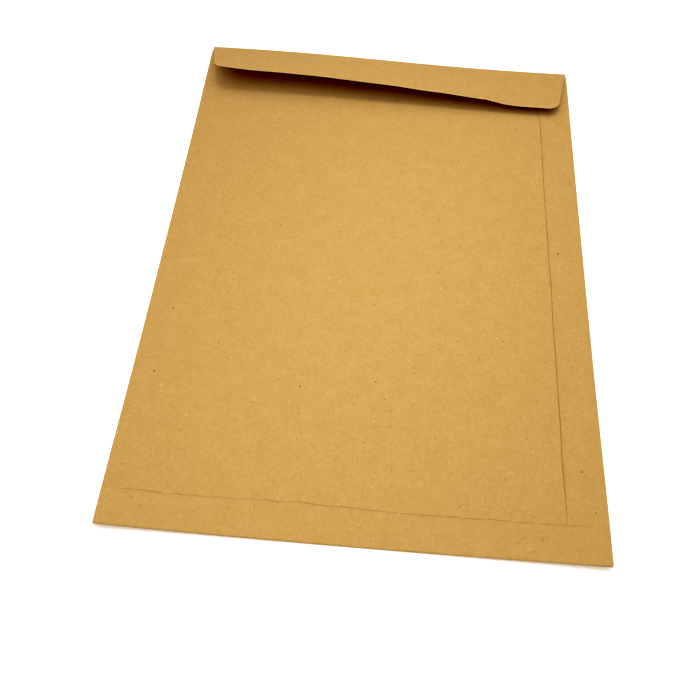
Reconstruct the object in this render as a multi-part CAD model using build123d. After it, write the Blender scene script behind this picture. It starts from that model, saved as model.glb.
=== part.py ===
"""Pocket envelope, folded from one die-cut sheet of brown kraft paper.

The blank is one sheet: a front panel with a wide back panel on its left edge, a narrow
side flap on its right edge, a bottom flap and a top flap. The back panel folds over first,
the side flap is glued over it, and the bottom flap is glued over both. The top flap is
folded over the mouth but not stuck, so it stands open, higher on the left than the right.

Frame: millimetres, X across, Y from the bottom fold to the top fold, Z up. The envelope
lies on its front panel, and the origin is at the bottom centre of its bounding box.
"""

from build123d import *
import os
from math import cos, pi, radians, sin

# Outside size
WIDTH = 229.0  # fold to fold
HEIGHT = 324.0  # bottom fold to top fold

# Paper and folds
PAPER = 0.18  # thickness of the sheet, 125 g/m2 kraft
FOLD_RADIUS = 0.3  # inside radius of the left fold, which sets the pocket's depth
FLAP_FOLD_SLACK = 0.2  # how much looser the unpressed top fold is than a pressed one

# Back of the envelope
SEAM_STRIP = 19.0  # from the right fold to the side flap's edge, which is the seam
BACK_EDGE_GAP = 2.0  # from the right fold to the back panel's edge, under the side flap
THROAT = 2.5  # from the top fold to the mouth's edge
SEAM_RAMP = 1.0  # width over which the bottom flap climbs the side flap's edge

# Bottom flap
BOTTOM_FLAP_DEPTH = 18.0
BOTTOM_FLAP_TAPER = 4.0  # how far each side leans in at the flap's edge
BOTTOM_FLAP_CORNER = 7.0

# Top flap
FLAP_DEPTH = 40.0  # from the top fold to the free edge, along the sheet
FLAP_TAPER = 8.0  # how far each side leans in at the free edge
FLAP_CORNER = 6.0
FLAP_LIFT_LEFT = 20.0  # degrees that the flap stands open at its left end
FLAP_LIFT_RIGHT = 7.0
FLAP_LIFT_BIAS = 1.8  # above 1, the flap stays high further from the left

# How the flap is made: lofted a little too deep, then cut to its outline
FLAP_STATIONS = 11
TRIM = 3.0

# The layers' heights, above the surface that the front panel lies on
pocket_gap = 2 * FOLD_RADIUS
back_low = PAPER + pocket_gap
back_top = back_low + PAPER
side_flap_top = back_top + PAPER
bottom_flap_top = side_flap_top + PAPER

# Outside radius of each fold, and the lines where the flat panels end
left_radius = back_top / 2
right_radius = side_flap_top / 2
bottom_radius = (back_top + PAPER) / 2
bottom_seam_radius = bottom_flap_top / 2
top_radius = bottom_seam_radius + FLAP_FOLD_SLACK
left_line = left_radius - WIDTH / 2
right_line = WIDTH / 2 - right_radius
bottom_line = bottom_seam_radius - HEIGHT / 2
top_line = HEIGHT / 2 - top_radius

# Cut edges on the back
seam_x = WIDTH / 2 - SEAM_STRIP
back_edge_x = WIDTH / 2 - BACK_EDGE_GAP
mouth_y = HEIGHT / 2 - THROAT
bottom_flap_y = BOTTOM_FLAP_DEPTH - HEIGHT / 2
flap_reach = FLAP_DEPTH - top_radius  # the flap's straight part, past its fold


def rectangle(x0, y0, x1, y1):
    """A rectangle between two corners, in the sketch plane."""
    return make_face(Polyline((x0, y0), (x1, y0), (x1, y1), (x0, y1), close=True))


def polar(centre, reach, angle):
    """The point a distance away from another, at an angle in degrees."""
    turn = radians(angle)
    return (centre[0] + reach * cos(turn), centre[1] + reach * sin(turn))


def folded(centre, outside, start, sweep, reach=0.0):
    """The section of a fold: the sheet turned about a centre, then straight for a reach.

    The angles are in degrees, and a sweep below zero turns clockwise.
    """
    finish = start + sweep
    heading = finish + 90 if sweep > 0 else finish - 90
    inside = outside - PAPER
    edges = []
    tips = []
    for radius in (inside, outside):
        turned = polar(centre, radius, finish)
        tips.append(polar(turned, reach, heading))
        edges.append(CenterArc(centre, radius, start, sweep))
        if reach:
            edges.append(Line(turned, tips[-1]))
    edges.append(Line(polar(centre, inside, start), polar(centre, outside, start)))
    edges.append(Line(*tips))
    return make_face(edges)


def along_y(section, y0, y1):
    """A section drawn in X and Z, carried from y0 to y1."""
    plane = Plane(origin=(0, y1, 0), x_dir=(1, 0, 0), z_dir=(0, -1, 0))
    return extrude(plane * section, amount=y1 - y0)


def across(section, x):
    """A section drawn in Y and Z, set at x."""
    return Plane(origin=(x, 0, 0), x_dir=(0, 1, 0), z_dir=(1, 0, 0)) * section


def trimmed(sheet, outline, height):
    """What lies inside a plan outline, up to a height."""
    return sheet & extrude(make_face(outline), amount=height)


def body_tube():
    """Front panel, side folds, back panel and side flap: the flattened tube."""
    section = (
        rectangle(left_line, 0, right_line, PAPER)
        + folded((left_line, left_radius), left_radius, 90, 180)
        + rectangle(left_line, back_low, back_edge_x, back_top)
        + folded((right_line, right_radius), right_radius, -90, 180)
        + rectangle(seam_x, back_top, right_line, side_flap_top)
    )
    return along_y(section, bottom_line, mouth_y)


def mouth_lip():
    """The front panel between the mouth's edge and the top fold."""
    return along_y(rectangle(left_line, 0, right_line, PAPER), mouth_y, top_line)


def bottom_flap():
    """Bottom fold and flap, which climbs where it crosses the side flap's edge."""
    stations = [
        (left_line, bottom_radius),
        (seam_x - SEAM_RAMP, bottom_radius),
        (seam_x, bottom_seam_radius),
        (right_line, bottom_seam_radius),
    ]
    reach = bottom_flap_y - bottom_line
    sections = [
        across(folded((bottom_line, radius), radius, -90, -180, reach), x)
        for x, radius in stations
    ]
    below = -HEIGHT / 2 - TRIM
    outline = FilletPolyline(
        (left_line, below),
        (left_line, bottom_line),
        (left_line + BOTTOM_FLAP_TAPER, bottom_flap_y),
        (right_line - BOTTOM_FLAP_TAPER, bottom_flap_y),
        (right_line, bottom_line),
        (right_line, below),
        radius=[0, 0, BOTTOM_FLAP_CORNER, BOTTOM_FLAP_CORNER, 0, 0],
        close=True,
    )
    return trimmed(loft(sections, ruled=True), outline, bottom_flap_top + TRIM)


def flap_lift(x):
    """Degrees that the top flap stands open at x: a half cosine from left to right."""
    share = (x - left_line) / (right_line - left_line)
    fall = (1 + cos(pi * share**FLAP_LIFT_BIAS)) / 2
    return FLAP_LIFT_RIGHT + (FLAP_LIFT_LEFT - FLAP_LIFT_RIGHT) * fall


def flap_edge_y(x):
    """Where the top flap's free edge lies in plan at x."""
    lift = radians(flap_lift(x))
    return top_line + top_radius * sin(lift) - flap_reach * cos(lift)


def evenly(start, stop, count):
    """A count of values from start to stop, evenly spaced."""
    return [start + (stop - start) * i / (count - 1) for i in range(count)]


def flap_outline():
    """The top flap in plan: leaning sides, round corners and the free edge between them."""
    above = HEIGHT / 2 + TRIM
    sides = []
    for line, inward in ((left_line, 1), (right_line, -1)):
        corner = line + inward * FLAP_TAPER
        edge = flap_edge_y(corner)
        inner = corner + inward * 2 * FLAP_CORNER
        side = FilletPolyline(
            (line, above),
            (line, top_line),
            (corner, edge),
            (inner, edge),
            radius=[0, FLAP_CORNER],
        )
        sides.append((side, (inner, edge)))
    (left, left_end), (right, right_end) = sides
    between = evenly(left_end[0], right_end[0], FLAP_STATIONS)[1:-1]
    points = [left_end, *[(x, flap_edge_y(x)) for x in between], right_end]
    free_edge = Spline(*points, tangents=[(1, 0), (1, 0)])
    return [left, free_edge, right, Line((left_line, above), (right_line, above))]


def top_flap():
    """Top fold and flap, whose lift changes across the envelope."""
    sections = []
    for x in evenly(left_line, right_line, FLAP_STATIONS):
        turn = 180 - flap_lift(x)
        reach = flap_reach + TRIM
        section = folded((top_line, top_radius), top_radius, -90, turn, reach)
        sections.append(across(section, x))
    return trimmed(loft(sections), flap_outline(), HEIGHT)


def envelope():
    """The whole sheet, folded and glued."""
    return body_tube() + mouth_lip() + bottom_flap() + top_flap()


os.makedirs("parts", exist_ok=True)
export_step(envelope(), "parts/envelope.step")
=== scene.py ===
"""A C4 pocket envelope of brown kraft paper, lying seam side up with its top flap open.

The envelope is one die-cut sheet. Its front panel lies on the floor. The back panel turns
over at the left fold, the narrow side flap turns over at the right fold and is gummed on it,
the bottom flap is gummed over both, and the top flap stands open over the mouth.

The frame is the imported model's: X across, Y from the bottom fold to the top fold, Z up.
Sizes are written in millimetres, and the mesh builder turns them to metres.
"""

import logging
from dataclasses import dataclass, field
from enum import Enum
from math import cos, pi, radians, sin
from typing import Any

import bpy
import numpy as np
from mathutils import Matrix, Vector


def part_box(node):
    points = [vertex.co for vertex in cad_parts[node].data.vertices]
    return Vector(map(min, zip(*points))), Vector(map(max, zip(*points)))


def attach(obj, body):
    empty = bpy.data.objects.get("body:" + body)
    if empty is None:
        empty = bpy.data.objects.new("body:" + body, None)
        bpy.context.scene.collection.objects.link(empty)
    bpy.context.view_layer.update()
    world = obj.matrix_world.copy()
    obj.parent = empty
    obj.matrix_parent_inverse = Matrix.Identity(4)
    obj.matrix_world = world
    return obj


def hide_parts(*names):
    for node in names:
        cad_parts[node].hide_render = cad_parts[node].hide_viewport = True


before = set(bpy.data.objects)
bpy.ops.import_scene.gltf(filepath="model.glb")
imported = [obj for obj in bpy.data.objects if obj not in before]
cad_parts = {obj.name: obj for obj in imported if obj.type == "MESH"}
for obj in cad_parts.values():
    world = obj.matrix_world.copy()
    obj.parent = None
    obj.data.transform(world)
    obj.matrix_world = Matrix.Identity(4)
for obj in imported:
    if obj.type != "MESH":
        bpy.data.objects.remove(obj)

MM = 0.001
FAR = 1e3  # further than any place on the envelope, in millimetres
SHARP_EDGE = 35.0  # degrees between faces above which an edge isn't smoothed
NODE = "envelope"
log = logging.getLogger("envelope")

Array = np.ndarray
Place = tuple[float, float, float]


def linear(hex_colour: str) -> tuple[float, float, float, float]:
    """Turns an sRGB hex colour into the linear colour that a shader takes.

    Args:
        hex_colour: Six hex digits after a hash sign.

    Returns:
        Red, green and blue from 0 to 1, and an alpha of 1.
    """
    encoded = np.array([int(hex_colour[i : i + 2], 16) for i in (1, 3, 5)]) / 255
    low = encoded / 12.92
    high = ((encoded + 0.055) / 1.055) ** 2.4
    red, green, blue = np.where(encoded <= 0.04045, low, high).tolist()
    return red, green, blue, 1.0


def smooth_step(value: Array, start: float, end: float) -> Array:
    """Goes from 0 at the start to 1 at the end, as 3t^2 - 2t^3, where t is the share of the way.

    Args:
        value: Where it is worked out.
        start: Where the step begins.
        end: Where the step is over. It may be less than the start.

    Returns:
        The step's height at each value.
    """
    share = np.clip((value - start) / (end - start), 0, 1)
    return share * share * (3 - 2 * share)


def joined(*parts: Array) -> Array:
    """Joins runs of stations, each starting where the last ended, and drops the repeated ones."""
    return np.concatenate([parts[0], *[part[1:] for part in parts[1:]]])


@dataclass(frozen=True)
class Ripple:
    """Small random waves in a sheet, or in a line drawn on it.

    The height is a sum of plane waves, amplitude * sqrt(2 / count) * cos(k . p + phase),
    with random headings, phases and wavelengths near the given one. The spread is how far off it
    a wavelength may be, as a share.
    """

    amplitude: float
    wavelength: float
    seed: int
    count: int = 14
    spread: float = 0.45

    def height(self, x: Array, y: Array) -> Array:
        """Works out the waves.

        Args:
            x: Places across, in millimetres.
            y: Places along, in millimetres.

        Returns:
            The height at each place, in millimetres.
        """
        draw = np.random.default_rng(self.seed)
        heading = draw.uniform(0, 2 * pi, self.count)
        phase = draw.uniform(0, 2 * pi, self.count)
        length = self.wavelength * (1 + draw.uniform(-self.spread, self.spread, self.count))
        x, y = np.broadcast_arrays(x, y)
        along = x[..., None] * np.cos(heading) + y[..., None] * np.sin(heading)
        waves = np.cos(2 * pi * along / length + phase)
        return self.amplitude * np.sqrt(2 / self.count) * waves.sum(-1)


@dataclass(frozen=True)
class Layers:
    """The flattened envelope: its outside size and the heights of its layers.

    The seam strip is the side flap's width from the right fold. The throat is what the back
    lies short of the top fold. The seam ramp is the width over which the bottom flap climbs
    the side flap's edge.
    """

    width: float
    height: float
    paper: float = 0.18
    pocket_gap: float = 0.6
    seam_strip: float = 19.0
    back_edge_gap: float = 2.0
    throat: float = 2.5
    seam_ramp: float = 6.0

    @property
    def front_mid(self) -> float:
        """Middle of the front panel's thickness, above the floor."""
        return self.paper / 2

    @property
    def back_mid(self) -> float:
        """Middle of the back panel's thickness."""
        return self.front_mid + self.pocket_gap + self.paper

    @property
    def side_flap_mid(self) -> float:
        """Middle of the side flap's thickness, on the back panel."""
        return self.back_mid + self.paper

    @property
    def left_radius(self) -> float:
        """Radius of the left fold, to the middle of the paper."""
        return (self.back_mid - self.front_mid) / 2

    @property
    def right_radius(self) -> float:
        """Radius of the right fold, to the middle of the paper."""
        return (self.side_flap_mid - self.front_mid) / 2

    @property
    def left_line(self) -> float:
        """Where the flat panels end at the left fold."""
        return self.left_radius + self.paper / 2 - self.width / 2

    @property
    def right_line(self) -> float:
        """Where the flat panels end at the right fold."""
        return self.width / 2 - self.right_radius - self.paper / 2

    @property
    def bottom_line(self) -> float:
        """Where the flat panels end at the bottom fold."""
        return self.right_radius + self.paper - self.height / 2

    @property
    def seam_x(self) -> float:
        """The side flap's cut edge."""
        return self.width / 2 - self.seam_strip

    @property
    def back_edge_x(self) -> float:
        """The back panel's cut edge, hidden under the side flap."""
        return self.width / 2 - self.back_edge_gap

    @property
    def mouth_y(self) -> float:
        """The cut edge of the mouth, under the top flap."""
        return self.height / 2 - self.throat

    @property
    def flap_middle(self) -> float:
        """Halfway between the two lines where the flat panels end, across."""
        return (self.left_line + self.right_line) / 2

    def top_line(self, fold_radius: float) -> float:
        """Where the front panel ends at a top fold of a radius, to the middle of the paper."""
        return self.height / 2 - fold_radius - self.paper / 2

    def columns(self, step: float) -> Array:
        """Stations across, about a step apart, between the lines where the flat panels end."""
        count = round((self.right_line - self.left_line) / step)
        return np.linspace(self.left_line, self.right_line, count)

    def drawn_in(self, x: Array, inset: Array) -> tuple[Array, Array]:
        """Draws a flap's columns in towards its middle, row by row.

        Args:
            x: Places across, at the fold.
            inset: How far in the flap's side lies, at each row.

        Returns:
            The share of the width that each row keeps, and the places across.
        """
        kept = 1 - inset[:, None] / (self.right_line - self.flap_middle)
        return kept, self.flap_middle + (x - self.flap_middle) * kept


@dataclass(frozen=True)
class Lie:
    """How the envelope lies: its curl off the floor and the air in its pocket.

    The top wave is the rise along the top fold, at its crest, and the corner lift is the rise of
    the two bottom corners. Each fades away from its end of the envelope. The puff is the
    pocket's extra height in the middle.
    """

    layers: Layers
    top_wave: float = 2.3
    top_crest: float = -69.0
    top_trough: float = 68.0
    top_fade: float = 60.0
    corner_lift: float = 2.5
    corner_fade: float = 70.0
    puff: float = 0.9
    soft_waves: Ripple = Ripple(0.12, 60.0, 11)

    def curl(self, x: Array, y: Array) -> Array:
        """Height of the whole envelope off the floor.

        A cosine from crest to trough runs along the top fold, and dies away down the panel
        as exp(-(d / fade)^2). The bottom corners rise as the square of the distance from
        the middle, and that dies away up the panel in the same way.

        Args:
            x: Places across.
            y: Places along.

        Returns:
            The rise at each place, never under 0.
        """
        half = self.layers.height / 2
        phase = pi * (x - self.top_crest) / (self.top_trough - self.top_crest)
        top = self.top_wave * (1 + np.cos(phase)) / 2
        top = top * np.exp(-(((half - y) / self.top_fade) ** 2))
        bottom = self.corner_lift * (2 * x / self.layers.width) ** 2
        bottom = bottom * np.exp(-(((half + y) / self.corner_fade) ** 2))
        return top + bottom

    def back(self, x: Array, y: Array) -> Array:
        """Extra height of the back, a pillow with soft waves in it that is 0 at every fold.

        It goes as (1 - u^4)(1 - v^4), where u and v are the shares of the way from the middle
        to the folds.

        Args:
            x: Places across.
            y: Places along.

        Returns:
            The height above a flat back, at each place.
        """
        across = 1 - np.clip(2 * x / self.layers.width, -1, 1) ** 4
        along = 1 - np.clip(2 * y / self.layers.height, -1, 1) ** 4
        return across * along * (self.puff + self.soft_waves.height(x, y))


class Mark(Enum):
    """What a point of the sheet may carry, each from 0 to 1: the names of mesh attributes.

    Gum is where the paper is stained by it, shade is painted shade where a gap or crease would be
    in shadow, and edge is where the paper is worn pale along a free edge.
    """

    GUM = "gum"
    PAINTED_SHADE = "shade"
    EDGE = "edge"


@dataclass
class Patch:
    """One stretch of the sheet as a grid.

    The middle is where the middle of the paper lies, the flat is the same point on the blank
    before folding, and the marks are what each point carries.
    """

    name: str
    middle: Array
    flat: Array
    marks: dict[Mark, Array] = field(default_factory=dict)

    def normals(self) -> Array:
        """Unit normals of the grid, the cross product of its two gradients."""
        by_row, by_column = np.gradient(self.middle, axis=(0, 1))
        normal = np.cross(by_column, by_row)
        return normal / np.linalg.norm(normal, axis=-1, keepdims=True)

    def mesh(self, paper: float) -> bpy.types.Mesh:
        """Gives the grid the paper's thickness, as a closed shell.

        The two faces are the middle layer moved half a thickness along its normals, and a
        strip round the cut edges joins them.

        Args:
            paper: The thickness, in millimetres.

        Returns:
            The mesh, in metres, with the map "blank", the marks and the face attribute "cut".
        """
        rows, columns = self.middle.shape[:2]
        count = rows * columns
        offset = self.normals() * paper / 2
        sides = [(self.middle + offset).reshape(-1, 3), (self.middle - offset).reshape(-1, 3)]
        index = np.arange(count).reshape(rows, columns)
        corners = (index[:-1, :-1], index[:-1, 1:], index[1:, 1:], index[1:, :-1])
        upper = np.stack(corners, -1).reshape(-1, 4)
        lower = upper[:, ::-1] + count
        loop = np.concatenate(
            [index[0, :-1], index[:-1, -1], index[-1, :0:-1], index[:0:-1, 0]]
        )
        after = np.roll(loop, -1)
        rim = np.stack((loop + count, after + count, after, loop), -1)
        faces = np.concatenate([upper, lower, rim])

        mesh = bpy.data.meshes.new(self.name)
        mesh.from_pydata(np.concatenate(sides) * MM, [], faces)
        blank = mesh.uv_layers.new(name="blank")
        places = self.flat.reshape(-1, 2)[faces.ravel() % count] * MM
        blank.data.foreach_set("uv", places.ravel())
        cut = mesh.attributes.new("cut", "FLOAT", "FACE")
        cut.data.foreach_set("value", np.repeat([0.0, 1.0], [len(faces) - len(rim), len(rim)]))
        for mark in Mark:
            values = self.marks.get(mark, np.zeros((rows, columns)))
            layer = mesh.attributes.new(mark.value, "FLOAT", "POINT")
            layer.data.foreach_set("value", np.tile(values.ravel(), 2))
        mesh.polygons.foreach_set("use_smooth", np.ones(len(faces), bool))
        mesh.set_sharp_from_angle(angle=radians(SHARP_EDGE))
        mesh.update()
        return mesh


@dataclass(frozen=True)
class Pocket:
    """Front panel, side folds, back panel and side flap, as one profile carried along Y.

    The side flap's edge stands off the back by the seam lift. The lift starts at a distance from
    the bottom fold, above the bottom flap, and is full at another. The seam band is a strip of
    closer stations each side of the seam, which holds the painted shade that stands in for the
    shadow in the seam's gap.
    """

    layers: Layers
    lie: Lie
    row_step: float = 2.0
    back_step: float = 2.2
    front_step: float = 4.0
    fold_steps: int = 10
    strip_steps: int = 16
    band_steps: int = 9
    seam_lift: float = 0.36
    seam_lift_reach: float = 4.0
    seam_lift_start: float = 20.0
    seam_lift_full: float = 32.0
    seam_band: float = 1.2
    # Painted shade: the seam's gap shadow on the back panel, and the shading of the side folds.
    seam_shade: float = 0.36
    seam_shade_peak: float = 0.45
    seam_shade_fall: float = 0.35
    fold_shade: float = 0.35
    seam_wander: Ripple = Ripple(0.16, 70.0, 5)
    seam_unevenness: Ripple = Ripple(0.06, 24.0, 8)
    gum_waves: Ripple = Ripple(0.05, 13.0, 21)
    gum_line: float = 10.0
    gum_reach: float = 5.0

    def profile(self) -> tuple[Array, Array, Array, Array]:
        """The sheet's middle in section, from the back panel's hidden edge round to the seam.

        Straight runs at each layer's height, joined by half circles at the two side folds.

        Returns:
            X and Z of each point, how much of the back's rise it takes, and how much of the
            seam's wander.
        """
        at = self.layers
        band_start = at.seam_x + self.seam_band
        band_end = at.seam_x - self.seam_band
        back = joined(
            np.linspace(at.back_edge_x, band_start, self.band_steps),
            np.linspace(band_start, band_end, self.band_steps),
            np.linspace(band_end, at.left_line, round(at.width / self.back_step)),
        )
        front = np.linspace(at.left_line, at.right_line, round(at.width / self.front_step))
        strip = at.right_line + (at.seam_x - at.right_line) * np.sin(
            np.linspace(0, pi / 2, self.strip_steps)
        )
        turn = np.linspace(0, pi, self.fold_steps)
        left = at.left_line - at.left_radius * np.sin(turn)
        right = at.right_line + at.right_radius * np.sin(turn)
        left_z = at.front_mid + at.left_radius * (1 + np.cos(turn))
        right_z = at.front_mid + at.right_radius * (1 - np.cos(turn))
        x = joined(back, left, front, right, strip)
        z = joined(
            np.full_like(back, at.back_mid),
            left_z,
            np.full_like(front, at.front_mid),
            right_z,
            np.full_like(strip, at.side_flap_mid),
        )
        on_back = (z - at.front_mid) / (at.back_mid - at.front_mid)
        on_strip = np.concatenate(
            [np.zeros(len(x) - len(strip)), (at.right_line - strip) / (at.right_line - at.seam_x)]
        )
        return x, z, np.clip(on_back, 0, 1), on_strip

    def patch(self) -> Patch:
        """Carries the profile along Y and lets the sheet rise, wander and lift at the seam.

        The side flap's edge lifts as the square of the nearness to it. The shadow in the seam's
        gap is painted as a shade on the back panel, exp(-(d / width)^2) each side of that edge,
        which is fainter towards the mouth, and both side folds carry a painted shade where they
        turn.

        Returns:
            The stretch, with rows along Y and columns along the profile.
        """
        at = self.layers
        x, z, on_back, on_strip = self.profile()
        length = at.mouth_y - at.bottom_line
        y = np.linspace(at.bottom_line, at.mouth_y, round(length / self.row_step))[:, None]
        zero = np.zeros_like(y)
        run = np.concatenate([[0], np.cumsum(np.hypot(np.diff(x), np.diff(z)))])
        in_front = z <= at.front_mid
        centre = np.interp(0, x[in_front], run[in_front])
        wander = self.seam_wander.height(zero, y)
        by_seam = np.exp(-(((x - at.seam_x) / self.seam_lift_reach) ** 2)) * (on_back == 1)
        across = x + wander * np.where(on_strip > 0, on_strip**2, by_seam)
        along = np.broadcast_to(y, across.shape)
        from_edge = (across - at.seam_x - wander) * (on_strip > 0) + FAR * (on_strip <= 0)
        uneven = self.seam_unevenness.height(zero, y)
        edge = np.clip(1 - from_edge / self.seam_lift_reach, 0, 1) ** 2
        free = smooth_step(y - at.bottom_line, self.seam_lift_start, self.seam_lift_full)
        gummed = np.exp(-(((across - at.seam_x - self.gum_line) / self.gum_reach) ** 2))
        up = (
            z
            + self.lie.curl(across, along)
            + self.lie.back(across, along) * on_back
            + self.gum_waves.height(across, along) * gummed * on_back
            + (self.seam_lift + uneven) * edge * free
        )
        middle = np.stack([across, along, up], -1)
        flat = np.stack([np.broadcast_to(run - centre, across.shape), along], -1)
        # Painted shade: the shadow in the seam's gap and the shading where the side folds turn are
        # drawn into the colour.
        under = (on_back == 1) & (on_strip <= 0) & (x <= at.seam_x + self.seam_band)
        beside = (across - at.seam_x - wander) / self.seam_shade
        turning = np.sin(pi * on_back)
        fainter = self.seam_shade_fall * smooth_step(y, 0.0, at.mouth_y)
        seam = (self.seam_shade_peak - fainter) * np.exp(-(beside**2))
        shade = np.where(under, seam, self.fold_shade * turning)
        return Patch("pocket", middle, flat, {Mark.PAINTED_SHADE: shade})


@dataclass(frozen=True)
class Outline:
    """A flap's outline: sides that lean in, round corners and a nearly straight free edge."""

    depth: float
    taper: float
    corner: float

    def rows(self, straight_steps: int, corner_steps: int) -> tuple[Array, Array]:
        """Stations from where the sides start to the free edge.

        Down the sides the inset grows in proportion to the depth. Round the corner the depth
        goes as the sine of the turn and the inset as one minus its cosine.

        Args:
            straight_steps: How many stations down the leaning sides.
            corner_steps: How many stations round the corner.

        Returns:
            Depth of each station, and how far in from the fold's end its side lies.
        """
        down = np.linspace(0, self.depth - self.corner, straight_steps)
        turn = np.linspace(0, pi / 2, corner_steps)
        depth = joined(down, self.depth - self.corner + self.corner * np.sin(turn))
        round_in = joined(np.zeros_like(down), self.corner * (1 - np.cos(turn)))
        return depth, self.taper * depth / self.depth + round_in


@dataclass(frozen=True)
class BottomFlap:
    """Bottom fold and gummed bottom flap, which climbs over the side flap's edge.

    The free edge wanders slowly and is finely ravelled. Both grow from the fold to the edge, as
    a power of the share of the depth. A gum run is a place across, a width and a strength.
    """

    layers: Layers
    lie: Lie
    outline: Outline = Outline(depth=17.3, taper=4.0, corner=7.0)
    column_step: float = 1.0
    fold_steps: int = 9
    straight_steps: int = 14
    corner_steps: int = 12
    edge_lift: float = 0.25
    edge_lift_reach: float = 2.5
    # Painted shade along the free edge and its corners, standing in for the shadow in the gap
    # under it.
    edge_shade: float = 0.3
    side_shade: float = 0.5
    side_shade_share: float = 0.3
    edge_shade_peak: float = 0.5
    edge_wander: Ripple = Ripple(0.3, 90.0, 3, count=5)
    edge_wander_power: int = 2
    edge_ravel: Ripple = Ripple(0.13, 15.0, 41)
    edge_ravel_power: int = 8
    edge_unevenness: Ripple = Ripple(0.05, 30.0, 9)
    gum_depth: float = 9.0
    gum_reach: float = 2.2
    gum_runs: tuple[tuple[float, float, float], ...] = ((-84.0, 16.0, 0.45), (76.0, 15.0, 0.85))
    cockle: Ripple = Ripple(0.05, 5.0, 31)

    def patch(self) -> Patch:
        """Carries the fold's section along X.

        The section is a half circle of the radius that reaches the layer below, then a
        straight run over the back. Its height steps up by one paper thickness at the seam. The
        free edge lifts as the square of the nearness to it, and carries a painted shade for the
        shadow in the gap under it, as exp(-(d / width)^2) along the edge and up the sides near the
        corners.

        Returns:
            The stretch, with rows down the flap and columns from right to left.
        """
        at = self.layers
        x = at.columns(self.column_step)
        zero = np.zeros_like(x)
        climb = smooth_step(x, at.seam_x - at.seam_ramp, at.seam_x)
        level = at.side_flap_mid + at.paper * climb
        radius = (level - at.front_mid) / 2

        turn = np.linspace(0, pi, self.fold_steps)[:, None]
        fold_y = at.bottom_line - radius * np.sin(turn)
        fold_z = at.front_mid + radius * (1 - np.cos(turn))
        depth, inset = self.outline.rows(self.straight_steps, self.corner_steps)
        share = (depth / self.outline.depth)[:, None]
        wander = self.edge_wander.height(x, zero) * share**self.edge_wander_power
        wander = wander + self.edge_ravel.height(x, zero) * share**self.edge_ravel_power
        flap_y = at.bottom_line + depth[:, None] + wander
        kept, flap_x = at.drawn_in(x, inset)

        y = np.concatenate([fold_y, flap_y[1:]])
        z = np.concatenate([fold_z, np.broadcast_to(level, flap_y.shape)[1:]])
        across = np.concatenate([np.broadcast_to(x, fold_y.shape), flap_x[1:]])
        reached = np.concatenate([np.zeros_like(turn), share[1:]])
        from_edge = self.outline.depth * (1 - reached)
        edge = np.clip(1 - from_edge / self.edge_lift_reach, 0, 1) ** 2
        lift = (self.edge_lift + self.edge_unevenness.height(x, zero)) * edge
        on_back = (z - at.front_mid) / (level - at.front_mid)
        from_fold = np.concatenate([np.full_like(turn, -FAR), depth[1:, None]])
        gum = np.exp(-(((from_fold - self.gum_depth) / self.gum_reach) ** 2))
        gum = gum * sum(
            peak * np.exp(-(((across - place) / width) ** 2))
            for place, width, peak in self.gum_runs
        )
        up = (
            z
            + self.lie.curl(across, y)
            + self.lie.back(across, y) * on_back
            + lift
            + self.cockle.height(across, y) * gum
        )
        unrolled = np.concatenate([radius * turn, pi * radius + depth[1:, None]])
        flat = np.stack([across, at.bottom_line - unrolled], -1)
        middle = np.stack([across, y, up], -1)
        # Painted shade: the shadow in the gap under the free edge is drawn into the colour.
        half = (at.right_line - at.flap_middle) * np.concatenate([np.ones_like(turn), kept[1:]])
        from_side = (half - np.abs(across - at.flap_middle)) / self.side_shade
        at_corner = smooth_step(from_edge, self.outline.corner, 0.0)
        shade = np.exp(-((from_edge / self.edge_shade) ** 2))
        shade = shade + self.side_shade_share * np.exp(-(from_side**2)) * at_corner
        shade = self.edge_shade_peak * np.clip(shade, 0, 1)
        marks = {Mark.GUM: gum[:, ::-1], Mark.PAINTED_SHADE: shade[:, ::-1]}
        return Patch("bottom_flap", middle[:, ::-1], flat[:, ::-1], marks)


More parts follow.
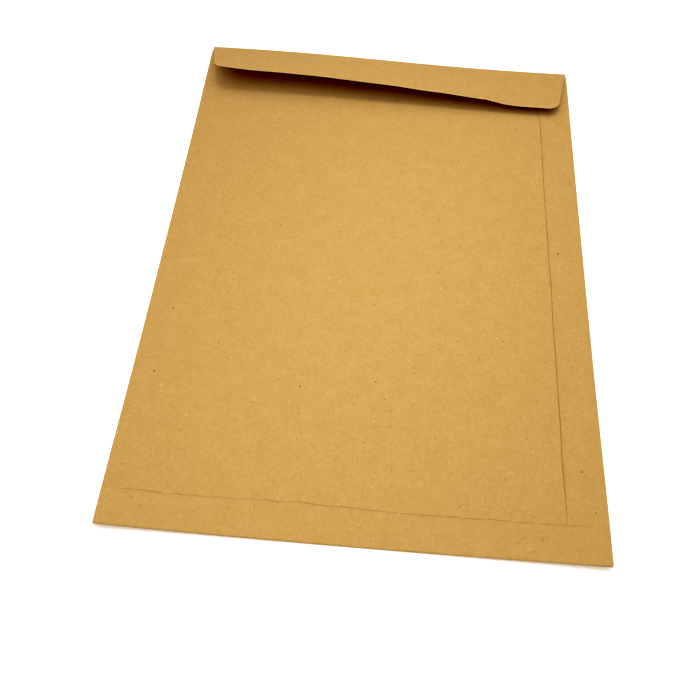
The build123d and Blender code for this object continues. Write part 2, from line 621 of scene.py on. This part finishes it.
@dataclass(frozen=True)
class TopFlap:
    """Top fold and flap, which stands open over the mouth, higher on the left.

    The reach is the flap's length past its fold, and the droop is the angle that it bends
    through over that length. Lifts, end curl, kink and droop are in degrees.
    """

    layers: Layers
    lie: Lie
    fold_radius: float = 0.77
    reach: float = 39.1
    taper: float = 8.0
    corner: float = 6.0
    lift_left: float = 16.4
    lift_right: float = 7.5
    lift_bias: float = 1.42
    end_curl: float = 2.1
    end_curl_reach: float = 14.0
    kink: float = 3.7
    kink_x: float = 76.5
    kink_reach: float = 8.0
    droop: float = 4.0
    column_step: float = 1.0
    fold_steps: int = 12
    straight_steps: int = 20
    corner_steps: int = 16
    waves: Ripple = Ripple(0.12, 34.0, 17)
    edge_light: float = 0.6

    def lift(self, x: Array) -> Array:
        """Degrees that the flap stands open.

        Half a cosine falls from left to right. The left end curls up further, as
        exp(-d / reach), and a small kink lowers the flap over the seam, as a tanh.

        Args:
            x: Places across.

        Returns:
            The angle at each place.
        """
        at = self.layers
        share = (x - at.left_line) / (at.right_line - at.left_line)
        fall = (1 + np.cos(pi * share**self.lift_bias)) / 2
        curl = self.end_curl * np.exp((at.left_line - x) / self.end_curl_reach)
        kink = self.kink * (1 - np.tanh((x - self.kink_x) / self.kink_reach)) / 2
        return self.lift_right + (self.lift_left - self.lift_right) * fall + curl + kink

    def patch(self) -> Patch:
        """Carries the fold's section along X.

        Each section is an arc that turns 180 degrees less the lift, and then a run that
        droops evenly along its length. Places are summed step by step along the heading.

        Returns:
            The stretch, with rows from the fold to the free edge and columns along X.
        """
        at = self.layers
        x = at.columns(self.column_step)
        top_line = at.top_line(self.fold_radius)
        turned = np.radians(180 - self.lift(x))

        arc = np.linspace(0, 1, self.fold_steps)[:, None]
        outline = Outline(depth=self.reach, taper=self.taper, corner=self.corner)
        depth, inset = outline.rows(self.straight_steps, self.corner_steps)
        share = (depth / self.reach)[:, None]
        droop = radians(self.droop) * (share - 0.5)
        heading = np.concatenate([turned * arc, (turned + droop)[1:]])
        turn_run = self.fold_radius * turned
        run = np.concatenate([turn_run * arc, (turn_run + depth[:, None])[1:]])
        step = np.diff(run, axis=0)
        mean = (heading[1:] + heading[:-1]) / 2
        zero = np.zeros((1, len(x)))
        y = top_line + np.concatenate([zero, np.cumsum(step * np.cos(mean), axis=0)])
        z = at.front_mid + np.concatenate([zero, np.cumsum(step * np.sin(mean), axis=0)])

        _, flap_x = at.drawn_in(x, inset)
        across = np.concatenate([np.broadcast_to(x, (self.fold_steps, len(x))), flap_x[1:]])
        reached = np.concatenate([np.zeros_like(arc), share[1:]])
        fold_edge = np.full_like(across, top_line)
        up = z + self.lie.curl(across, fold_edge) + self.waves.height(across, run) * reached
        middle = np.stack([across, y, up], -1)
        flat = np.stack([across, top_line + run], -1)
        from_edge = self.reach * (1 - reached) * np.ones_like(across)
        light = np.exp(-((from_edge / self.edge_light) ** 2))
        return Patch("top_flap", middle, flat, {Mark.EDGE: light})


@dataclass(frozen=True)
class Lip:
    """The front panel between the mouth's edge and the top fold."""

    layers: Layers
    lie: Lie
    fold_radius: float
    column_step: float = 2.0
    rows: int = 4

    def patch(self) -> Patch:
        """Lays a flat grid that takes only the envelope's curl.

        Returns:
            The stretch, with rows along Y and columns from right to left.
        """
        at = self.layers
        x = at.columns(self.column_step)
        y = np.linspace(at.mouth_y, at.top_line(self.fold_radius), self.rows)
        across, along = np.meshgrid(x, y)
        up = at.front_mid + self.lie.curl(across, along)
        middle = np.stack([across, along, up], -1)
        return Patch("mouth_lip", middle[:, ::-1], middle[:, ::-1, :2])


def add(
    tree: bpy.types.NodeTree,
    kind: str,
    settings: dict[str, Any] | None = None,
    inputs: dict[int | str, Any] | None = None,
) -> bpy.types.Node:
    """Adds a node with its settings, its values and the links into it.

    Where several sockets share a name, they go by number: a colour Mix takes its factor at 0 and
    its colours at 6 and 7, and gives its colour at 2. A Map Range takes its value at 0, where it
    comes from at 1 and 2, and where it goes at 3 and 4.

    Args:
        tree: The node tree of a material or of the sky.
        kind: The node's type name.
        settings: Properties of the node.
        inputs: For each input's name or number, a value, or the output that feeds it.

    Returns:
        The node.
    """
    made = tree.nodes.new(kind)
    for name, value in (settings or {}).items():
        setattr(made, name, value)
    for socket, value in (inputs or {}).items():
        if isinstance(value, bpy.types.NodeSocket):
            tree.links.new(value, made.inputs[socket])
        else:
            made.inputs[socket].default_value = value
    return made


@dataclass(frozen=True)
class Specks:
    """Scattered dots in the paper: one in each cell, from nothing up to a size.

    The spacing is the width of a cell and the size is a radius, in millimetres. The shift moves
    the cells, in metres, so that two kinds never share them.
    """

    colour: str
    spacing: float
    size: float
    shift: float


@dataclass(frozen=True)
class Grain:
    """One scale of cloudiness: its blotches' size in millimetres, and how much it counts.

    The detail is how many finer scales go with it.
    """

    size: float
    weight: float
    detail: float


@dataclass(frozen=True)
class KraftPaper:
    """Unbleached brown kraft paper, 125 g/m2, machine finished.

    Long softwood fibres make it cloudy at a few millimetres and streaked below one. It has
    no coating, so it is matt, and bits of bark and shive show as dark specks.

    Cloudiness and streaks add up to the formation, which is how thick the paper is at a place.
    A mark is broken up by the flocs: there is none of it below one value of their noise, and all
    of it above another.
    """

    body: str = "#BC9F63"
    thin: str = "#B69859"
    thick: str = "#C2A66D"
    # Colour of the real gum stains, and also of the painted shade in gaps, folds and along the
    # flap's edge.
    gum_stain_and_painted_shade: str = "#7E5220"
    cut: str = "#DCC190"
    thin_at: float = 0.15
    thick_at: float = 0.85
    noise_mean: float = 0.5
    clouds: Grain = Grain(size=9.0, weight=0.40, detail=3.0)
    flocs: Grain = Grain(size=2.6, weight=0.50, detail=4.0)
    fines: Grain = Grain(size=1.0, weight=0.55, detail=3.0)
    fibre_length: float = 2.6
    fibre_width: float = 0.55
    fibre_angles: tuple[float, float] = (62.0, 118.0)
    fibre_weight: float = 0.45
    fibre_detail: float = 2.0
    gum_breaks: tuple[float, float] = (0.54, 0.95)
    line_breaks: tuple[float, float] = (0.20, 0.60)
    specks: tuple[Specks, ...] = (
        Specks("#5E3E18", 11.0, 0.36, 0.0),
        Specks("#3C2410", 36.0, 0.62, 0.41),
        Specks("#E2CC9C", 15.0, 0.40, 0.37),
    )
    empty_cells: float = 0.35  # share of the cells that hold no speck
    speck_cover: float = 2.0  # at a speck's centre; above 1, so its inner half is solid
    roughness: float = 0.78
    specular: float = 0.3
    relief: float = 0.2
    relief_strength: float = 0.5

    def material(self) -> bpy.types.Material:
        """Builds the node tree.

        Returns:
            The material, which reads the map "blank", the marks and the attribute "cut".
        """
        material = bpy.data.materials.new("kraft_paper")
        material.use_nodes = True
        tree = material.node_tree
        tree.nodes.clear()
        place = add(tree, "ShaderNodeUVMap", {"uv_map": "blank"}).outputs["UV"]

        flocs = self._noise(tree, place, self.flocs)
        sources = (
            (self._noise(tree, place, self.clouds), self.clouds.weight),
            (flocs, self.flocs.weight),
            (self._noise(tree, place, self.fines), self.fines.weight),
            *((self._fibres(tree, place, turn), self.fibre_weight) for turn in self.fibre_angles),
        )
        # This start keeps the weighted sum's mean at the mean of one noise.
        formation = self.noise_mean - self.noise_mean * sum(weight for _, weight in sources)
        for source, weight in sources:
            inputs = {0: source, 1: weight, 2: formation}
            settings = {"operation": "MULTIPLY_ADD"}
            formation = add(tree, "ShaderNodeMath", settings, inputs).outputs[0]
        ramp = add(tree, "ShaderNodeValToRGB", inputs={"Fac": formation})
        elements = ramp.color_ramp.elements
        elements[0].position, elements[0].color = self.thin_at, linear(self.thin)
        elements[1].position, elements[1].color = self.thick_at, linear(self.thick)
        elements.new(self.noise_mean).color = linear(self.body)
        colour = ramp.outputs["Color"]

        layers = [(self._patchy(tree, Mark.GUM, flocs, self.gum_breaks), self.gum_stain_and_painted_shade)]
        layers += [(self._dots(tree, place, kind), kind.colour) for kind in self.specks]
        # Painted shade: darkens the seam's gap, the side folds and the bottom flap's edge, where
        # shadow would fall.
        layers += [(self._patchy(tree, Mark.PAINTED_SHADE, flocs, self.line_breaks), self.gum_stain_and_painted_shade)]
        layers += [(self._patchy(tree, Mark.EDGE, flocs, self.line_breaks), self.cut)]
        cut = add(tree, "ShaderNodeAttribute", {"attribute_name": "cut"}).outputs["Fac"]
        layers += [(cut, self.cut)]
        for cover, hex_colour in layers:
            inputs = {0: cover, 6: colour, 7: linear(hex_colour)}
            colour = add(tree, "ShaderNodeMix", {"data_type": "RGBA"}, inputs).outputs[2]

        bump = add(
            tree,
            "ShaderNodeBump",
            inputs={
                "Strength": self.relief_strength,
                "Distance": self.relief * MM,
                "Height": formation,
            },
        )
        shader = add(
            tree,
            "ShaderNodeBsdfPrincipled",
            inputs={
                "Base Color": colour,
                "Roughness": self.roughness,
                "Specular IOR Level": self.specular,
                "Normal": bump.outputs["Normal"],
            },
        )
        add(tree, "ShaderNodeOutputMaterial", inputs={"Surface": shader.outputs["BSDF"]})
        return material

    def _noise(
        self, tree: bpy.types.NodeTree, place: bpy.types.NodeSocket, grain: Grain
    ) -> bpy.types.NodeSocket:
        """Adds cloudy noise.

        Args:
            tree: The material's node tree.
            place: Where on the blank, in metres.
            grain: The size of its blotches and its detail.

        Returns:
            The noise, from 0 to 1.
        """
        settings = {"noise_dimensions": "2D"}
        inputs = {"Vector": place, "Scale": 1 / (grain.size * MM), "Detail": grain.detail}
        return add(tree, "ShaderNodeTexNoise", settings, inputs).outputs["Fac"]

    def _fibres(
        self, tree: bpy.types.NodeTree, place: bpy.types.NodeSocket, degrees: float
    ) -> bpy.types.NodeSocket:
        """Adds streaks of a fibre's length and width.

        Args:
            tree: The material's node tree.
            place: Where on the blank, in metres.
            degrees: The streaks' angle to the sheet.

        Returns:
            The noise, from 0 to 1.
        """
        inputs = {
            "Vector": place,
            "Rotation": (0, 0, radians(degrees)),
            "Scale": (self.fibre_length * MM, self.fibre_width * MM, 1),
        }
        mapped = add(tree, "ShaderNodeMapping", {"vector_type": "TEXTURE"}, inputs)
        settings = {"noise_dimensions": "2D"}
        inputs = {"Vector": mapped.outputs["Vector"], "Scale": 1.0, "Detail": self.fibre_detail}
        return add(tree, "ShaderNodeTexNoise", settings, inputs).outputs["Fac"]

    def _patchy(
        self,
        tree: bpy.types.NodeTree,
        mark: Mark,
        noise: bpy.types.NodeSocket,
        breaks: tuple[float, float],
    ) -> bpy.types.NodeSocket:
        """Reads a mark and breaks it up with noise.

        Args:
            tree: The material's node tree.
            mark: Which mark.
            noise: What breaks it up.
            breaks: The noise below which there is no mark, and above which there is all of it.

        Returns:
            The mark's cover, from 0 to 1.
        """
        value = add(tree, "ShaderNodeAttribute", {"attribute_name": mark.value}).outputs["Fac"]
        inputs = {0: noise, 1: breaks[0], 2: breaks[1], 3: 0.0, 4: 1.0}
        broken = add(tree, "ShaderNodeMapRange", inputs=inputs).outputs[0]
        inputs = {0: value, 1: broken}
        return add(tree, "ShaderNodeMath", {"operation": "MULTIPLY"}, inputs).outputs[0]

    def _dots(
        self, tree: bpy.types.NodeTree, place: bpy.types.NodeSocket, kind: Specks
    ) -> bpy.types.NodeSocket:
        """Adds one kind of speck: in each cell one of a random size, or none.

        Args:
            tree: The material's node tree.
            place: Where on the blank, in metres.
            kind: The kind of speck.

        Returns:
            The specks' cover, above 1 at their centres.
        """
        inputs = {0: place, 1: (kind.shift, kind.shift, 0)}
        moved = add(tree, "ShaderNodeVectorMath", {"operation": "ADD"}, inputs)
        inputs = {"Vector": moved.outputs[0], "Scale": 1 / (kind.spacing * MM)}
        cells = add(tree, "ShaderNodeTexVoronoi", {"voronoi_dimensions": "2D"}, inputs)
        chance = add(tree, "ShaderNodeSeparateColor", inputs={0: cells.outputs["Color"]})
        full_size = kind.size / kind.spacing
        inputs = {0: chance.outputs[0], 1: self.empty_cells, 2: 1.0, 3: 0.0, 4: full_size}
        radius = add(tree, "ShaderNodeMapRange", inputs=inputs).outputs[0]
        inputs = {0: cells.outputs["Distance"], 1: radius, 2: 0.0, 3: 0.0, 4: self.speck_cover}
        return add(tree, "ShaderNodeMapRange", inputs=inputs).outputs[0]


@dataclass(frozen=True)
class Studio:
    """A white floor, a broad soft light overhead, a pool of light, an even sky and the camera.

    Places and sizes are in metres, and angles in degrees. The floor glows more further out, and
    the camera sees the sky as white, so the background is white from any side. The camera aims
    at a share of the envelope's size from its middle, and its lens is in sensor widths.
    """

    size: Vector
    floor_size: float = 40.0
    floor_colour: str = "#F4F4F4"
    floor_roughness: float = 0.9
    floor_specular: float = 0.1
    floor_glow: float = 0.3
    far_glow: float = 0.95
    glow_start: float = 0.5
    glow_end: float = 1.6
    contrast: float = 1.3
    black_level: tuple[float, float, float] = (0.032, 0.045, 0.026)
    key_power: float = 18.4
    key_size: float = 2.0
    key_place: Place = (-0.06, 0.10, 0.95)
    key_aim: Place = (0.0, 0.0, 0.0)
    pool_power: float = 25.0
    pool_size: float = 0.3
    pool_place: Place = (-0.04, 0.22, 1.08)
    pool_aim: Place = (0.002, -0.036, 0.0)
    pool_cone: float = 36.0
    pool_blend: float = 1.0
    pool_width: float = 0.6
    pool_turn: float = -25.0
    sky_colour: str = "#FFE1BC"
    sky_strength: float = 0.26
    seen_colour: str = "#FFFFFF"
    seen_strength: float = 1.0
    azimuth: float = -1.73
    elevation: float = 57.84
    roll: float = 3.13
    distance: float = 0.4152
    aim_share: tuple[float, float] = (-0.0367, -0.1856)
    lens_ratio: float = 1.174

    def build(self) -> None:
        """Sets how the view shows its colours, and makes the floor, the lights and the camera."""
        view = bpy.context.scene.view_settings
        view.view_transform = "Standard"
        view.gamma = 1 / self.contrast
        view.use_curve_mapping = True
        view.curve_mapping.black_level = self.black_level
        view.curve_mapping.update()
        self._floor()
        self._lights()
        self._camera()

    def _floor(self) -> None:
        """Lays a plain white floor, which glows more further out."""
        half = self.floor_size / 2
        mesh = bpy.data.meshes.new("floor")
        corners = [(-half, -half, 0), (half, -half, 0), (half, half, 0), (-half, half, 0)]
        mesh.from_pydata(corners, [], [(0, 1, 2, 3)])
        material = bpy.data.materials.new("studio_floor")
        material.use_nodes = True
        tree = material.node_tree
        shader = tree.nodes["Principled BSDF"]
        shader.inputs["Base Color"].default_value = linear(self.floor_colour)
        shader.inputs["Roughness"].default_value = self.floor_roughness
        shader.inputs["Specular IOR Level"].default_value = self.floor_specular
        shader.inputs["Emission Color"].default_value = linear(self.floor_colour)
        place = add(tree, "ShaderNodeTexCoord").outputs["Object"]
        away = add(tree, "ShaderNodeVectorMath", {"operation": "LENGTH"}, {0: place})
        inputs = {
            0: away.outputs["Value"],
            1: self.glow_start,
            2: self.glow_end,
            3: self.floor_glow,
            4: self.far_glow,
        }
        glow = add(tree, "ShaderNodeMapRange", inputs=inputs).outputs[0]
        tree.links.new(glow, shader.inputs["Emission Strength"])
        mesh.materials.append(material)
        floor = bpy.data.objects.new("floor", mesh)
        bpy.context.scene.collection.objects.link(floor)

    def _lights(self) -> None:
        """Hangs a square softbox and a long soft pool on the panel's middle, and makes the sky."""
        softbox = bpy.data.lights.new("softbox", "AREA")
        softbox.shape = "SQUARE"
        softbox.size = self.key_size
        softbox.energy = self.key_power
        self._hang(softbox, self.key_place, self.key_aim)
        pool = bpy.data.lights.new("pool", "SPOT")
        pool.shadow_soft_size = self.pool_size / 2
        pool.spot_size = radians(self.pool_cone)
        pool.spot_blend = self.pool_blend
        pool.energy = self.pool_power
        lamp = self._hang(pool, self.pool_place, self.pool_aim)
        lamp.rotation_euler.rotate_axis("Z", radians(self.pool_turn))
        lamp.scale.x = self.pool_width
        world = bpy.data.worlds.new("sky")
        world.use_nodes = True
        tree = world.node_tree
        ray = add(tree, "ShaderNodeLightPath").outputs["Is Camera Ray"]
        inputs = {0: ray, 6: linear(self.sky_colour), 7: linear(self.seen_colour)}
        colour = add(tree, "ShaderNodeMix", {"data_type": "RGBA"}, inputs).outputs[2]
        inputs = {0: ray, 1: 0.0, 2: 1.0, 3: self.sky_strength, 4: self.seen_strength}
        strength = add(tree, "ShaderNodeMapRange", inputs=inputs).outputs[0]
        sky = tree.nodes["Background"]
        tree.links.new(colour, sky.inputs["Color"])
        tree.links.new(strength, sky.inputs["Strength"])
        bpy.context.scene.world = world

    def _hang(self, light: bpy.types.Light, place: Place, aim: Place) -> bpy.types.Object:
        """Puts a light in its place and points it at what it lights.

        Args:
            light: The light.
            place: Where it hangs.
            aim: What it points at.

        Returns:
            The object that holds the light.
        """
        lamp = bpy.data.objects.new(light.name, light)
        lamp.location = place
        lamp.rotation_euler = (Vector(aim) - Vector(place)).to_track_quat("-Z", "Y").to_euler()
        bpy.context.scene.collection.objects.link(lamp)
        return lamp

    def _camera(self) -> None:
        """Places the camera by its azimuth, elevation, roll and distance from what it aims at."""
        turn, tilt, roll = radians(self.azimuth), radians(self.elevation), radians(self.roll)
        look = Vector((sin(turn) * cos(tilt), cos(turn) * cos(tilt), -sin(tilt)))
        level = Vector((cos(turn), -sin(turn), 0))
        above = level.cross(look)
        right = cos(roll) * level + sin(roll) * above
        up = cos(roll) * above - sin(roll) * level
        data = bpy.data.cameras.new("camera")
        data.lens = self.lens_ratio * data.sensor_width
        camera = bpy.data.objects.new("camera", data)
        aim = Vector((self.aim_share[0] * self.size.x, self.aim_share[1] * self.size.y, MM))
        place = aim - look * self.distance
        axes = Matrix((right, up, -look)).transposed().to_4x4()
        camera.matrix_world = Matrix.Translation(place) @ axes
        bpy.context.scene.collection.objects.link(camera)
        bpy.context.scene.camera = camera


def main() -> None:
    """Builds the envelope patch by patch, then the studio."""
    logging.basicConfig(level=logging.INFO, format="%(message)s")
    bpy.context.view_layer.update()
    low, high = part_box(NODE)
    layers = Layers(width=(high.x - low.x) / MM, height=(high.y - low.y) / MM)
    lie = Lie(layers)
    flap = TopFlap(layers, lie)
    paper = KraftPaper().material()
    lip = Lip(layers, lie, flap.fold_radius)
    for maker in (Pocket(layers, lie), BottomFlap(layers, lie), flap, lip):
        patch = maker.patch()
        mesh = patch.mesh(layers.paper)
        mesh.materials.append(paper)
        piece = bpy.data.objects.new(patch.name, mesh)
        bpy.context.scene.collection.objects.link(piece)
        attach(piece, "root")
        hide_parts(NODE)
        log.info("%s: %d faces", patch.name, len(mesh.polygons))
    Studio(high - low).build()


if __name__ == "__main__":
    main()
